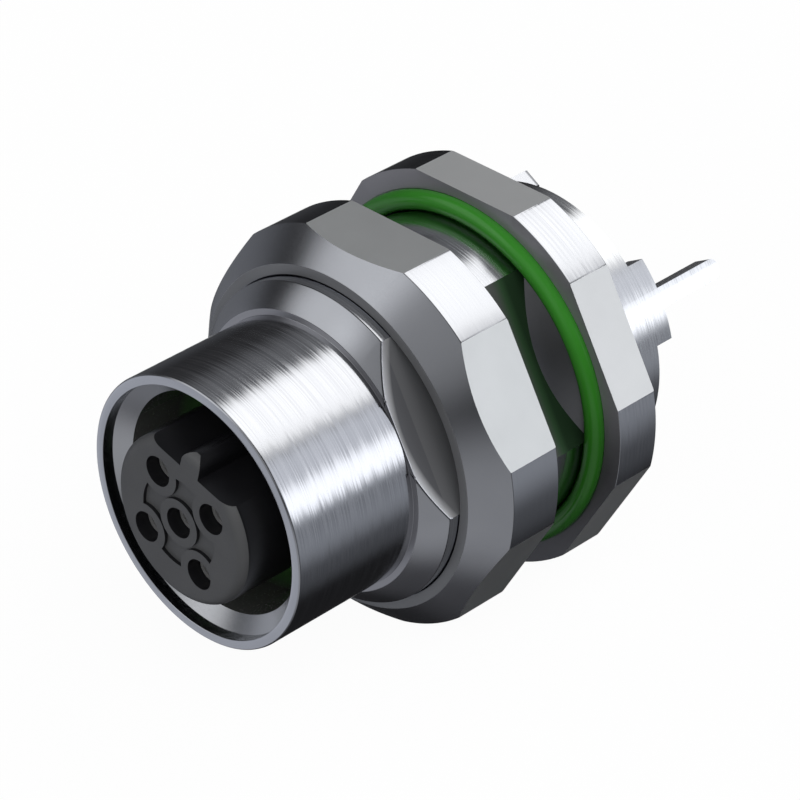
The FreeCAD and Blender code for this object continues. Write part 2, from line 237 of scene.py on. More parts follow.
def buildTurnedMarks():
    # fine rings round the axis: streaks for tone and roughness, and a normal that sways round it
    tree, inside, outside = newGroup(
        "turnedMarks",
        [("Lines per mm", "NodeSocketFloat", 9.0), ("Length", "NodeSocketFloat", 0.5),
         ("Sway", "NodeSocketFloat", 0.4), ("Hair", "NodeSocketFloat", 0.25),
         ("Seed", "NodeSocketFloat", 0.0)],
        [("Streak", "NodeSocketFloat"), ("Normal", "NodeSocketVector")])
    hairsPerLine = 1.7
    x, y, z = objectPlace(tree)
    radius = calculate(tree, "MAXIMUM", axisRadius(tree, x, z), 1e-5)
    along = calculate(tree, "MULTIPLY", calculate(tree, "ADD", y, radius), 1000.0)
    along = calculate(tree, "MULTIPLY", along, inside.outputs["Lines per mm"])
    around = []
    for part in (x, z):
        turnPart = calculate(tree, "DIVIDE", part, radius)
        around.append(calculate(tree, "MULTIPLY", turnPart, inside.outputs["Length"]))
    join = tree.nodes.new("ShaderNodeCombineXYZ")
    tree.links.new(around[0], join.inputs[0])
    tree.links.new(along, join.inputs[1])
    tree.links.new(around[1], join.inputs[2])
    noise = tree.nodes.new("ShaderNodeTexNoise")
    noise.noise_dimensions = "4D"
    noise.inputs["Scale"].default_value = 1.0
    noise.inputs["Detail"].default_value = 2.0
    noise.inputs["Roughness"].default_value = 0.6
    tree.links.new(join.outputs[0], noise.inputs["Vector"])
    tree.links.new(inside.outputs["Seed"], noise.inputs["W"])
    # hair lines: one random step for each turn of the tool
    turn = tree.nodes.new("ShaderNodeTexWhiteNoise")
    turn.noise_dimensions = "1D"
    hairPlace = calculate(tree, "FLOOR", calculate(tree, "MULTIPLY", along, hairsPerLine))
    tree.links.new(hairPlace, turn.inputs["W"])
    step = calculate(tree, "SUBTRACT", turn.outputs["Value"], 0.5)
    hair = calculate(tree, "MULTIPLY", step, inside.outputs["Hair"])
    streak = calculate(tree, "ADD", noise.outputs["Fac"], hair)
    shape = tree.nodes.new("ShaderNodeNewGeometry")
    sideways = tree.nodes.new("ShaderNodeVectorMath")
    sideways.operation = "CROSS_PRODUCT"
    sideways.inputs[0].default_value = axisY
    tree.links.new(shape.outputs["Normal"], sideways.inputs[1])
    lean = calculate(tree, "SUBTRACT", streak, 0.5)
    amount = calculate(tree, "MULTIPLY", lean, inside.outputs["Sway"])
    push = tree.nodes.new("ShaderNodeVectorMath")
    push.operation = "SCALE"
    tree.links.new(sideways.outputs[0], push.inputs[0])
    tree.links.new(amount, push.inputs["Scale"])
    add = tree.nodes.new("ShaderNodeVectorMath")
    tree.links.new(shape.outputs["Normal"], add.inputs[0])
    tree.links.new(push.outputs[0], add.inputs[1])
    unit = tree.nodes.new("ShaderNodeVectorMath")
    unit.operation = "NORMALIZE"
    tree.links.new(add.outputs[0], unit.inputs[0])
    tree.links.new(streak, outside.inputs["Streak"])
    tree.links.new(unit.outputs[0], outside.inputs["Normal"])
    return tree


def buildFineGrain():
    # small even grain with a slow drift of tone under it
    tree, inside, outside = newGroup(
        "fineGrain",
        [("Grains per mm", "NodeSocketFloat", 8.0), ("Drift per mm", "NodeSocketFloat", 0.3)],
        [("Grain", "NodeSocketFloat"), ("Drift", "NodeSocketFloat")])
    place = tree.nodes.new("ShaderNodeTexCoord")
    for label, output, detail in (("Grains per mm", "Grain", 4.0), ("Drift per mm", "Drift", 2.0)):
        noise = tree.nodes.new("ShaderNodeTexNoise")
        noise.inputs["Detail"].default_value = detail
        tree.links.new(place.outputs["Object"], noise.inputs["Vector"])
        tree.links.new(calculate(tree, "MULTIPLY", inside.outputs[label], 1000.0), noise.inputs["Scale"])
        tree.links.new(noise.outputs["Fac"], outside.inputs[output])
    return tree


turnedMarks = buildTurnedMarks()
fineGrain = buildFineGrain()


def newMaterial(name, **constants):
    # constants sit on the shader's own sockets
    material = bpy.data.materials.new(name)
    material.use_nodes = True
    shader = material.node_tree.nodes["Principled BSDF"]
    for label, value in constants.items():
        shader.inputs[label.replace("_", " ")].default_value = value
    return material, material.node_tree, shader


def placeGroup(tree, group, **values):
    node = tree.nodes.new("ShaderNodeGroup")
    node.node_tree = group
    for label, value in values.items():
        node.inputs[label.replace("_", " ")].default_value = value
    return node


def ranged(tree, value, low, high, fromLow=0.3, fromHigh=0.7):
    node = tree.nodes.new("ShaderNodeMapRange")
    node.inputs["From Min"].default_value = fromLow
    node.inputs["From Max"].default_value = fromHigh
    node.inputs["To Min"].default_value = low
    node.inputs["To Max"].default_value = high
    tree.links.new(value, node.inputs["Value"])
    return node.outputs["Result"]


def blended(tree, value, first, second, kind="MIX"):
    # value, first and second are each a constant or another node's output
    node = tree.nodes.new("ShaderNodeMix")
    node.data_type = "RGBA"
    node.blend_type = kind
    for label, part in (("Factor", value), ("A", first), ("B", second)):
        if isinstance(part, bpy.types.NodeSocket):
            tree.links.new(part, node.inputs[label])
        else:
            node.inputs[label].default_value = (*part, 1) if isinstance(part, tuple) else part
    return node.outputs["Result"]


def turnedMetal(name, look):
    material, tree, shader = newMaterial(name, Metallic=1.0)
    marks = placeGroup(tree, turnedMarks, Lines_per_mm=look["lines"], Length=look["length"],
                       Sway=look["sway"], Hair=look["hair"], Seed=look["seed"])
    tone = ranged(tree, marks.outputs["Streak"], 0.0, 1.0)
    tree.links.new(blended(tree, tone, look["dark"], look["light"]), shader.inputs["Base Color"])
    tree.links.new(ranged(tree, marks.outputs["Streak"], *look["roughness"]), shader.inputs["Roughness"])
    tree.links.new(marks.outputs["Normal"], shader.inputs["Normal"])
    return material


def stationColour(tree, stations, along):
    # colour by the place along one axis, in millimetres
    low, high = stations[0][0], stations[-1][0]
    ramp = tree.nodes.new("ShaderNodeValToRGB")
    share = ranged(tree, objectPlace(tree)[along], 0.0, 1.0, low * mm, high * mm)
    tree.links.new(share, ramp.inputs["Fac"])
    stops = ramp.color_ramp.elements
    while len(stops) < len(stations):
        stops.new(0.5)
    for stop, (station, colour) in zip(stops, stations):
        stop.position = (station - low) / (high - low)
        stop.color = (*colour, 1)
    return ramp.outputs["Color"]


def evenFinish(name, look, **constants):
    # flats, ends and moulded pieces: small grain in gloss and height, a slow drift in tone
    material, tree, shader = newMaterial(name, **constants)
    grain = placeGroup(tree, fineGrain, Grains_per_mm=look["grain"], Drift_per_mm=look["drift"])
    tone = ranged(tree, grain.outputs["Drift"], 0.0, 1.0)
    colour = blended(tree, tone, look["dark"], look["light"])
    # stations multiply the tone by place: painted shade, light and reflection on the bore, flange, key flat
    # and seal
    if "stations" in look:
        shade = stationColour(tree, look["stations"], look.get("along", "Y"))
        colour = blended(tree, 1.0, shade, colour, "MULTIPLY")
    tree.links.new(colour, shader.inputs["Base Color"])
    tree.links.new(ranged(tree, grain.outputs["Grain"], *look["roughness"]), shader.inputs["Roughness"])
    bump = tree.nodes.new("ShaderNodeBump")
    bump.inputs["Strength"].default_value = look["bump"]
    bump.inputs["Distance"].default_value = 0.01 * mm
    tree.links.new(grain.outputs["Grain"], bump.inputs["Height"])
    tree.links.new(bump.outputs["Normal"], shader.inputs["Normal"])
    return material


def paintEdgeHighlight(material, look, metal):
    # a painted highlight: a bright, fully metallic band along a cone's edge, found by the station less the
    # radius
    tree = material.node_tree
    shader = tree.nodes["Principled BSDF"]
    x, y, z = objectPlace(tree)
    behind = calculate(tree, "SUBTRACT", y, axisRadius(tree, x, z))
    start = look["start"]
    share = ranged(tree, behind, 1.0, 0.0, start * mm, (start + look["width"]) * mm)
    colour = shader.inputs["Base Color"].links[0].from_socket
    tree.links.new(blended(tree, share, colour, look["colour"]), shader.inputs["Base Color"])
    tree.links.new(ranged(tree, share, metal, 1.0, 0.0, 1.0), shader.inputs["Metallic"])


# shell: turned tube, thread and flange

shellLook = {
    "turned": {"lines": 10.0, "length": 0.35, "sway": 0.075, "hair": 0.5, "seed": 0.0,
               "roughness": (0.14, 0.22), "dark": (0.64, 0.65, 0.68), "light": (0.75, 0.76, 0.79)},
    "flat": {"grain": 14.0, "drift": 0.4, "roughness": (0.30, 0.34), "bump": 0.03,
             "dark": (0.67, 0.68, 0.68), "light": (0.70, 0.71, 0.71)},
    "flatMetal": 0.65,
    "smooth": {"grain": 12.0, "drift": 0.3, "roughness": (0.21, 0.25), "bump": 0.04,
               "dark": (0.67, 0.68, 0.71), "light": (0.72, 0.73, 0.76)},
    "mouth": {"grain": 12.0, "drift": 0.3, "roughness": (0.20, 0.27), "bump": 0.1,
              "dark": (0.90, 0.91, 0.93), "light": (0.93, 0.94, 0.96)},
    # painted shade: the bore darkens inside, with a painted green reflection of the bottom seal towards its
    # end
    "bore": {"grain": 12.0, "drift": 0.3, "roughness": (0.22, 0.28), "bump": 0.1,
             "dark": (0.93, 0.93, 0.93), "light": (1.0, 1.0, 1.0),
             "stations": [(-16, (0.15, 0.15, 0.148)), (-13.2, (0.13, 0.135, 0.125)),
                          (-11.3, (0.26, 0.75, 0.18))]},
    "boreMetal": 0.4,
    # painted shade: the flange's front is darker on its lower side, where the nut shades it
    "flange": {"grain": 12.0, "drift": 0.3, "roughness": (0.35, 0.39), "bump": 0.03,
               "dark": (0.29, 0.285, 0.305), "light": (0.32, 0.315, 0.335), "along": "Z",
               "stations": [(-1.5, (0.30, 0.30, 0.30)), (0.0, (0.45, 0.45, 0.45)),
                            (2.4, (0.92, 0.92, 0.92))]},
    "flangeMetal": 0.6,
    "step": {"grain": 12.0, "drift": 0.3, "roughness": (0.32, 0.36), "bump": 0.03,
             "dark": (0.46, 0.455, 0.47), "light": (0.50, 0.495, 0.51)},
    # dull key flat: a shade lighter from where the thread starts, then painted shade towards the flange with
    # a painted green reflection of the seal beside it
    "key": {"grain": 12.0, "drift": 0.3, "roughness": (0.38, 0.44), "bump": 0.1,
            "dark": (0.95, 0.95, 0.95), "light": (1.0, 1.0, 1.0),
            "stations": [(-10.0, (0.120, 0.122, 0.131)), (-8.97, (0.120, 0.122, 0.131)),
                         (-8.95, (0.155, 0.158, 0.166)), (-2.8, (0.115, 0.115, 0.117)),
                         (-2.0, (0.080, 0.088, 0.080)), (-1.55, (0.034, 0.078, 0.035)),
                         (-1.2, (0.018, 0.040, 0.019))]},
    "keyMetal": 0.3,
    # painted highlight along its front edge, on the lead cone, over this width
    "keyHighlight": {"start": -17.0, "width": 0.55, "colour": (0.88, 0.88, 0.90)},
    "runOut": {"grain": 12.0, "drift": 0.3, "roughness": (0.36, 0.42), "bump": 0.1,
               "dark": (0.25, 0.25, 0.257), "light": (0.29, 0.29, 0.297)},
    # (radius, y, rounding), from the front rim round the outside and back through the bore
    "profile": [
        (6.2, -17.0, 0.04), (6.7, -17.0, 0.13), (6.7, -10.0, 0.02), (7.0, -10.0, 0.03),
        (8.0, -9.0, 0.04), (8.0, 0.43, 0.0), (9.04, 0.43, 0.0), (9.04, 0.0, 0.0), (10.0, 0.0, 0.03),
        (10.0, 2.45, 0.05), (7.25, 2.45, 0.05), (7.25, 0.5, 0.0), (5.8, 0.5, 0.0), (5.8, -7.0, 0.0),
        (4.5, -7.0, 0.0), (4.5, -8.0, 0.0), (5.46, -8.0, 0.0), (5.46, -15.84, 0.0), (6.2, -16.4, 0.0),
    ],
    "flats": [90, 30, -30, -90, -150, 150],
    "flatDistance": 9.5,
    "keyAngle": 30,
    "keyDistance": 6.75,
    # what the key flat takes away runs out on a cone in front of the flange
    "keyTool": [(6.6, -10.4, 0), (6.6, -1.25, 0), (7.85, 0.0, 0), (8.8, 0.0, 0), (8.8, -10.4, 0)],
    "keyEdge": 0.06,
    "keyEdgeStations": (-10.1, -8.3),
    # where each finish begins or ends: radius, or stations along the axis
    "insideRadius": 6.4,
    "runOutRadius": 7.9,
    "runOutStations": (-1.3, -0.01),
    "mouthRadius": 6.1,
    "mouthStations": (-16.5, -15.8),
    "boreRadius": 5.5,
    "boreEnd": -8.5,
    "rimEnd": -16.0,
    "stepEnd": -2.0,
}
shellMetals = {
    "turned": turnedMetal("shellTurned", shellLook["turned"]),
    "flat": evenFinish("shellFlat", shellLook["flat"], Metallic=shellLook["flatMetal"], IOR=1.5),
    "smooth": evenFinish("shellSmooth", shellLook["smooth"], Metallic=1.0),
    "bore": evenFinish("shellBore", shellLook["bore"], Metallic=shellLook["boreMetal"]),
    "flange": evenFinish("shellFlange", shellLook["flange"], Metallic=shellLook["flangeMetal"]),
    "key": evenFinish("shellKey", shellLook["key"], Metallic=shellLook["keyMetal"], IOR=1.3),
    "runOut": evenFinish("keyRunOut", shellLook["runOut"], Metallic=1.0),
    "mouth": evenFinish("shellMouth", shellLook["mouth"], Metallic=1.0),
    "step": evenFinish("shellStep", shellLook["step"], Metallic=1.0),
}
paintEdgeHighlight(shellMetals["key"], shellLook["keyHighlight"], shellLook["keyMetal"])


def between(value, stations):
    return stations[0] < value < stations[1]


def shellFinish(face, look):
    # the finish that a face takes by its place, or None where sortFinishes was right
    middle = face.calc_center_median()
    radius = axisDistance(middle)
    if onFlat(face, look["keyAngle"], look["keyDistance"]):
        return "key"
    if between(middle.y, look["runOutStations"]) and radius < look["runOutRadius"] and face.normal.y < -0.3:
        return "runOut"
    if between(middle.y, look["mouthStations"]) and radius < look["mouthRadius"]:
        return "mouth"
    if face.normal.y < -0.9 and middle.y > look["rimEnd"]:
        return "flange" if middle.y > look["stepEnd"] else "step"
    if middle.y < look["boreEnd"] and radius < look["boreRadius"]:
        return "bore"
    return None


def buildShell(look):
    shell = turned(look["profile"])
    for angle in look["flats"]:
        sliceFlat(shell, angle, look["flatDistance"])
    keyTool = turned(look["keyTool"])
    sliceFlat(keyTool, look["keyAngle"], look["keyDistance"], keepInside=False)
    shell = combine(shell, keyTool)
    easeFlat(shell, look["keyAngle"], look["keyDistance"], look["keyEdge"], *look["keyEdgeStations"])
    sortFinishes(shell, [(angle, look["flatDistance"]) for angle in look["flats"]], look["insideRadius"])
    for face in shell.faces:
        finish = shellFinish(face, look)
        if finish:
            face.material_index = list(shellMetals).index(finish)
    return shell


finishPiece("turnedShell", buildShell(shellLook), shellMetals.values(), "housing", "shell")


# lock nut

nutLook = {
    "turned": {"lines": 10.0, "length": 0.35, "sway": 0.05, "hair": 0.2, "seed": 4.0,
               "roughness": (0.15, 0.20), "dark": (0.67, 0.68, 0.71), "light": (0.73, 0.74, 0.77)},
    "flat": {"grain": 14.0, "drift": 0.4, "roughness": (0.30, 0.34), "bump": 0.03,
             "dark": (0.63, 0.645, 0.645), "light": (0.67, 0.685, 0.685)},
    "flatMetal": 0.72,
    "land": {"grain": 12.0, "drift": 0.3, "roughness": (0.36, 0.42), "bump": 0.1,
             "dark": (0.185, 0.188, 0.195), "light": (0.21, 0.213, 0.22)},
    "landMetal": 0.5,
    "smooth": {"grain": 12.0, "drift": 0.3, "roughness": (0.23, 0.27), "bump": 0.04,
               "dark": (0.65, 0.66, 0.69), "light": (0.70, 0.71, 0.74)},
    "profile": [
        (8.07, -8.45, 0.02), (8.55, -8.45, 0.04), (10.0, -7.0, 0.03), (10.0, -4.1, 0.04),
        (8.13, -4.1, 0.0), (8.05, -4.18, 0.0), (8.05, -8.43, 0.0),
    ],
    "flats": [90, 30, -30, -90, -150, 150],
    "flatDistance": 9.5,
    "insideRadius": 8.1,
}
nutMetals = [turnedMetal("nutTurned", nutLook["turned"]),
             evenFinish("nutFlat", nutLook["flat"], Metallic=nutLook["flatMetal"], IOR=1.5),
             evenFinish("nutSmooth", nutLook["smooth"], Metallic=1.0),
             evenFinish("nutLand", nutLook["land"], Metallic=nutLook["landMetal"])]

nut = turned(nutLook["profile"])
for angle in nutLook["flats"]:
    sliceFlat(nut, angle, nutLook["flatDistance"])
sortFinishes(nut, [(angle, nutLook["flatDistance"]) for angle in nutLook["flats"]], nutLook["insideRadius"])
for face in nut.faces:
    if face.normal.y < -0.9:
        face.material_index = 3  # the land round the thread, at the front
finishPiece("lockNut", nut, nutMetals, "nut", "lock_nut")


# seals

sealLook = {
    # painted light: the rubber is lighter on its upper side, where light from above falls
    "rubber": {"grain": 9.0, "drift": 0.25, "roughness": (0.09, 0.12), "bump": 0.02,
               "dark": (0.031, 0.190, 0.019), "light": (0.036, 0.212, 0.023), "along": "Z",
               "stations": [(0.0, (0.60, 0.63, 0.50)), (3.0, (0.75, 0.76, 0.70)), (6.0, (1.0, 1.0, 1.0))]},
    "ringRadius": 8.53,
    "section": 0.5,
    "station": -0.10,
    "bottomProfile": [(4.5, -8.9, 0.2), (5.43, -8.9, 0.2), (5.43, -8.0, 0.1), (4.5, -8.0, 0.1)],
}
sealRubber = evenFinish("sealRubber", sealLook["rubber"], IOR=1.5)

panelSeal = bmesh.new()
bmesh.ops.create_circle(panelSeal, segments=32, radius=sealLook["section"])
bmesh.ops.translate(panelSeal, verts=panelSeal.verts[:],
                    vec=(sealLook["ringRadius"], sealLook["station"], 0))
bmesh.ops.spin(panelSeal, geom=panelSeal.verts[:] + panelSeal.edges[:], cent=(0, 0, 0), axis=axisY,
               angle=2 * math.pi, steps=roundSteps, use_merge=True)
bmesh.ops.recalc_face_normals(panelSeal, faces=panelSeal.faces[:])
finishPiece("panelSeal", panelSeal, [sealRubber], "housing", "panel_seal")

bottomSeal = turned(sealLook["bottomProfile"])
finishPiece("bottomSeal", bottomSeal, [sealRubber], "housing", "bottom_seal")


# socket insert with its code recess

insertLook = {
    "plastic": {"grain": 10.0, "drift": 0.5, "roughness": (0.46, 0.56), "bump": 0.15,
                "dark": (0.072, 0.073, 0.075), "light": (0.082, 0.083, 0.085)},
    # painted shade: a near-black, glossier copy of the plastic for the walls of the recess, relief and holes
    "walls": {"grain": 10.0, "drift": 0.5, "roughness": (0.30, 0.38), "bump": 0.1,
              "dark": (0.006, 0.006, 0.007), "light": (0.009, 0.009, 0.010)},
    "face": -18.0,
    "radius": 4.15,
    "contactAngles": [120, 30, -60, -150],
    "contactCircle": 2.5,
    "codeAngle": 75,
    "codeDistance": 3.16,
    "codeEnd": -8.3,
    "codeReach": 6.5,
    "noseHalf": 0.575,
    "noseFoot": 2.9,
    "rimRound": 0.5,
    "rimWidth": 0.55,
    "rimDepth": 0.5,
    "collar": [(5.77, -7.0, 0), (5.77, -5.0, 0.05)],
    "holeEnd": -4.5,
    # how far the relief's cutter stands clear of the face; its bosses and the nose stand twice as far
    "clear": 0.4,
    "reliefRadius": 2.33,
    "reliefFloor": -17.82,
    "bossRadius": 1.2,
    "holeRadius": 0.75,
    # the other cutters start here
    "cutStart": -18.5,
}
insertPlastics = [evenFinish("insertPlastic", insertLook["plastic"], IOR=1.45),
                  evenFinish("insertWallsPaintedShade", insertLook["walls"], IOR=1.45)]
holeSpots = [outward(angle, insertLook["contactCircle"]) for angle in insertLook["contactAngles"]]
holeSpots.append(Vector((0, 0, 0)))


def buildInsert(look):
    face, clear, collar = look["face"], look["clear"], look["collar"]
    insert = turned([(0, face, 0), (look["radius"], face, look["rimRound"]),
                     (look["radius"], collar[0][1], 0), *collar, (0, collar[1][1], 0)], corner=8)
    # shallow relief, with a boss left round every hole
    relief = rod(Vector((0, 0, 0)), look["reliefRadius"], face - clear, look["reliefFloor"], 96)
    for spot in holeSpots:
        boss = rod(spot, look["bossRadius"], face - 2 * clear, look["reliefFloor"] + clear, 96)
        relief = combine(relief, boss)
    insert = combine(insert, relief)
    # the code recess is a flat across one side, and a nose with a round tip is left standing in it
    angle, half = look["codeAngle"], look["noseHalf"]
    tip = look["radius"] - half
    recess = strip(angle, look["codeDistance"], look["codeReach"], look["radius"] + 0.5)
    recess = prism(recess, look["cutStart"], look["codeEnd"])
    noseStations = (face - 2 * clear, look["codeEnd"] + clear)
    nose = combine(prism(strip(angle, look["noseFoot"], tip, half), *noseStations),
                   rod(outward(angle, tip), half, *noseStations, 48), "UNION")
    insert = combine(insert, combine(recess, nose))
    for spot in holeSpots:
        insert = combine(insert, rod(spot, look["holeRadius"], look["cutStart"], look["holeEnd"], 64))
    insert.normal_update()
    for part in insert.faces:
        # only the front face and its rounded rim keep the plastic's own tone; all other faces take the
        # near-black walls, painted shade
        middle = part.calc_center_median()
        rim = (axisDistance(middle) > look["radius"] - look["rimWidth"]
               and middle.y < face + look["rimDepth"] and part.normal.y < -0.1)
        if part.normal.y > -0.9 and not rim:
            part.material_index = 1
    return insert


finishPiece("socketInsert", buildInsert(insertLook), insertPlastics, "housing",
            "socket_insert")


# contacts

contactLook = {
    "gold": {"grain": 12.0, "drift": 0.6, "roughness": (0.24, 0.29), "bump": 0.03,
             "dark": (0.77, 0.57, 0.28), "light": (0.84, 0.64, 0.33)},
    "end": {"grain": 14.0, "drift": 0.6, "roughness": (0.45, 0.55), "bump": 0.1,
            "dark": (0.16, 0.16, 0.16), "light": (0.19, 0.19, 0.19)},
    "profile": [
        (0, -17.3, 0), (0.7, -17.3, 0.01), (0.7, -6.0, 0), (0.95, -6.0, 0.03), (0.95, -5.0, 0),
        (0.75, -5.0, 0), (0.75, 4.8, 0), (0.5, 4.8, 0), (0.5, 10.3, 0), (0.3, 10.5, 0), (0, 10.5, 0),
    ],
    "bore": [
        (0, -17.5, 0), (0.5, -17.5, 0), (0.5, -16.9, 0), (0.55, -16.8, 0), (0.55, -10.7, 0),
        (0, -10.7, 0),
    ],
    "slitHalf": 0.11,
    "slitReach": 1.5,
    "slitAngle": 120,
    "slitStations": (-18.0, -12.7),
    # the end and the mouth of the bore are dull
    "dullEnd": -16.85,
    "dullRadius": 0.52,
}
contactMetals = [evenFinish("contactMetal", contactLook["gold"], Metallic=1.0),
                 evenFinish("contactEnd", contactLook["end"], IOR=1.45)]


def buildContact(look, spot):
    contact = combine(turned(look["profile"], steps=48), turned(look["bore"], steps=48))
    slit = strip(look["slitAngle"], -look["slitReach"], look["slitReach"], look["slitHalf"])
    contact = combine(contact, prism(slit, *look["slitStations"]))
    contact.normal_update()
    for face in contact.faces:
        middle = face.calc_center_median()
        inMouth = axisDistance(middle) < look["dullRadius"]
        if middle.y < look["dullEnd"] and (face.normal.y < -0.5 or inMouth):
            face.material_index = 1
    bmesh.ops.translate(contact, verts=contact.verts[:], vec=spot)
    return contact


for number, spot in enumerate(holeSpots, start=1):
    finishPiece(f"contact{number}", buildContact(contactLook, spot), contactMetals, "housing",
                f"contact_{number}")


# contact carrier

carrierLook = {
    "plastic": {"grain": 10.0, "drift": 0.4, "roughness": (0.42, 0.52), "bump": 0.2,
                "dark": (0.018, 0.018, 0.02), "light": (0.026, 0.026, 0.028)},
    "profile": [
        (0, -5.0, 0), (5.77, -5.0, 0.05), (5.77, 0.5, 0), (7.22, 0.5, 0), (7.22, 1.1, 0),
        (6.22, 1.1, 0), (6.22, 4.5, 0.08), (5.92, 4.8, 0.08), (0, 4.8, 0),
    ],
    "barrelHole": 0.78,
    "holeStations": (-5.5, 5.3),
}
carrierPlastic = evenFinish("carrierPlastic", carrierLook["plastic"], IOR=1.5)
carrier = turned(carrierLook["profile"])
for spot in holeSpots:
    carrier = combine(carrier, rod(spot, carrierLook["barrelHole"], *carrierLook["holeStations"], 48))
finishPiece("contactCarrier", carrier, [carrierPlastic], "housing", "contact_carrier")


# shield ring with its tabs and solder legs

ringLook = {
    "turned": {"lines": 10.0, "length": 0.35, "sway": 0.08, "hair": 0.35, "seed": 7.0,
               "roughness": (0.14, 0.24), "dark": (0.77, 0.78, 0.80), "light": (0.87, 0.88, 0.90)},
    "smooth": {"grain": 12.0, "drift": 0.3, "roughness": (0.23, 0.27), "bump": 0.03,
               "dark": (0.70, 0.71, 0.74), "light": (0.76, 0.77, 0.80)},
    "profile": [(6.25, 1.1, 0), (7.22, 1.1, 0), (7.22, 10.85, 0), (6.25, 10.85, 0)],
    "outsideRadius": 7.19,
    "legAngles": [30, 150, 270],
    "ringReach": 5.8,
    "tabEnd": 6.8,
    "tabHalf": 2.0,
    "legHalf": 0.5,
    "legReach": 10.85,
    "tipRound": 0.42,
    # tabs and legs are what two cutters leave: their radius, end, and the span of the gaps in them
    "cutterRadius": 12,
    "cutterEnd": 14,
    "span": (3.6, 20),
}


def buildLeg(look, angle):
    # a bar in the leg's outline, rounded at the corners of its end
    end = look["legReach"]
    leg = prism(strip(angle, *look["span"], look["legHalf"]), look["tabEnd"] - 1, end)
    tips = []
    for edge in leg.edges:
        first, second = edge.verts
        pointsOut = abs((first.co - second.co).normalized().dot(outward(angle))) > 0.9
        if pointsOut and min(first.co.y, second.co.y) > end - 0.01:
            tips.append(edge)
    bmesh.ops.bevel(leg, geom=tips, offset=look["tipRound"], offset_type="OFFSET", affect="EDGES",
                    segments=8, profile=0.5, material=-1)
    return leg


def buildRing(look):
    middle = Vector((0, 0, 0))
    ring = turned(look["profile"])
    tabs = rod(middle, look["cutterRadius"], look["ringReach"], look["cutterEnd"])
    legs = rod(middle, look["cutterRadius"], look["tabEnd"], look["cutterEnd"])
    for angle in look["legAngles"]:
        tab = strip(angle, *look["span"], look["tabHalf"])
        tabs = combine(tabs, prism(tab, look["ringReach"] - 1, look["cutterEnd"] + 2))
        legs = combine(legs, buildLeg(look, angle))
    ring = combine(combine(ring, tabs), legs)
    ring.normal_update()
    for face in ring.faces:
        # cut faces are plain, only the turned outside is streaked
        outside = axisDistance(face.calc_center_median()) > look["outsideRadius"]
        face.material_index = 0 if outside and abs(face.normal.y) < 0.3 else 1
    return ring


ringMetals = [turnedMetal("ringTurned", ringLook["turned"]),
              evenFinish("ringSmooth", ringLook["smooth"], Metallic=0.8)]
finishPiece("shieldRing", buildRing(ringLook), ringMetals, "housing", "shield_ring")


# studio: floor, world panels and camera

studio = {
    "floor": {"height": -9.5 * mm, "half": 1.5, "glow": 0.96,
              "dark": (0.90, 0.90, 0.90), "light": (0.93, 0.93, 0.93)},
    "base": (0.013, 0.013, 0.014),
    # each panel: where it stands, the cosine where it starts and where it is full, and its light
    "panels": [
        ("ceiling", (0.12, 0.59, 0.797), 0.90, 0.965, (1.25, 1.25, 1.24)),
        ("ceilingWide", (-0.10, 0.62, 0.75), 0.70, 0.98, (0.135, 0.138, 0.145)),
        ("right", (0.74, 0.59, 0.36), 0.90, 0.965, (0.65, 0.67, 0.72)),
        ("rightLine", (0.785, 0.59, 0.19), 0.975, 0.996, (0.75, 0.75, 0.74)),
        ("rightLow", (0.78, 0.60, -0.12), 0.86, 0.99, (0.19, 0.20, 0.22)),
        ("rightLower", (0.62, 0.60, -0.50), 0.88, 0.995, (0.06, 0.063, 0.07)),
        ("frontLow", (-0.60, -0.62, -0.50), 0.66, 0.97, (0.365, 0.38, 0.42)),
        ("leftLow", (-0.93, 0.02, -0.36), 0.75, 0.99, (0.128, 0.133, 0.146)),
        ("frontRight", (0.60, -0.60, -0.52), 0.72, 0.98, (0.25, 0.256, 0.27)),
        ("below", (0.10, -0.30, -0.95), 0.75, 0.98, (0.04, 0.04, 0.044)),
        ("frontHigh", (-0.50, -0.58, 0.64), 0.85, 0.985, (0.63, 0.64, 0.66)),
        ("frontTop", (0.15, -0.78, 0.58), 0.80, 0.98, (0.245, 0.25, 0.26)),
        ("leftHigh", (-0.80, 0.35, 0.45), 0.80, 0.98, (0.02, 0.02, 0.021)),
        ("behind", (-0.25, 0.96, 0.05), 0.82, 0.97, (0.32, 0.32, 0.33)),
    ],
    # soft lamps for the matt surfaces: direction to the lamp, light
    "lamps": [
        ("topLamp", (0.58, -0.15, 0.80), 1.7),
        ("frontLamp", (0.42, -0.75, 0.50), 1.2),
    ],
    "lampAngle": 50,
    # the white backdrop stands behind the object, seen from the camera: aim, start and full
    "backdrop": ((-0.597, 0.590, -0.543), 0.985, 1.0),
}


